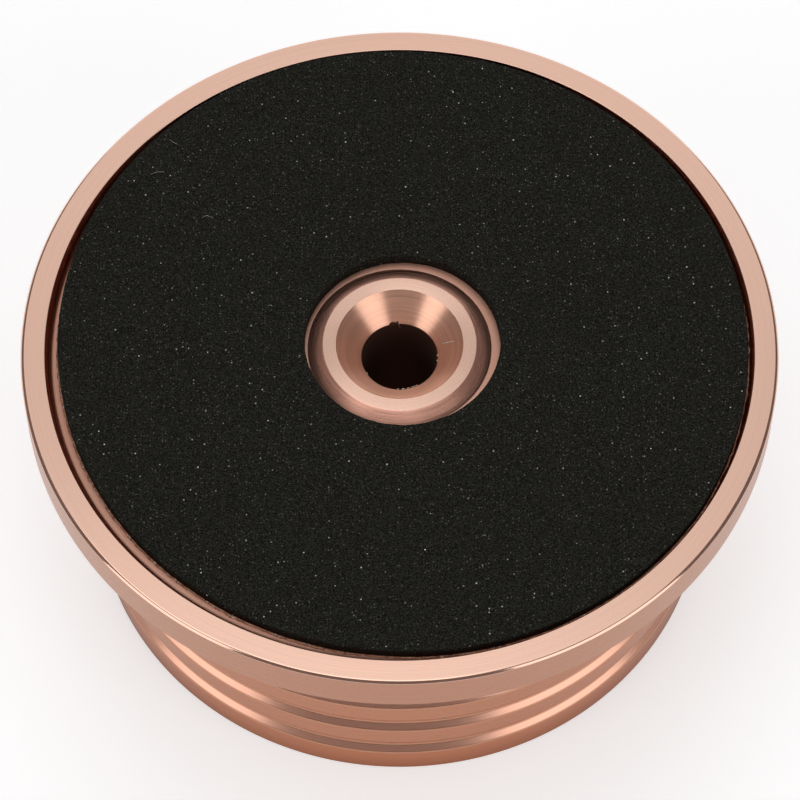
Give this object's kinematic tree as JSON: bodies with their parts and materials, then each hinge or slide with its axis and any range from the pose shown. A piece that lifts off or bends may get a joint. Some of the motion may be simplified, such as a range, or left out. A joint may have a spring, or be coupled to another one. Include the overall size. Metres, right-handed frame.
{
  "type": "record weight",
  "caption": "Solid turned metal weight with a wide rim, grooved grip and soft ring pad, set over a turntable spindle to press a record flat on the platter.",
  "frame": {"origin": "centre of the flat top face, which the weight stands on with its record face up", "axes": "+Z along the spindle bore, out of its mouth; X and Y are free, because the part is round"},
  "size_m": [0.076, 0.076, 0.0321],
  "materials": {
    "anodised_metal": "rose gold anodised over fine turning marks, satin with bright edges",
    "pad_foam": "matt black closed-cell foam rubber with a fine grain"
  },
  "bodies": {
    "root": {"weight_body": "anodised_metal", "record_pad": "pad_foam"}
  },
  "joints": []
}
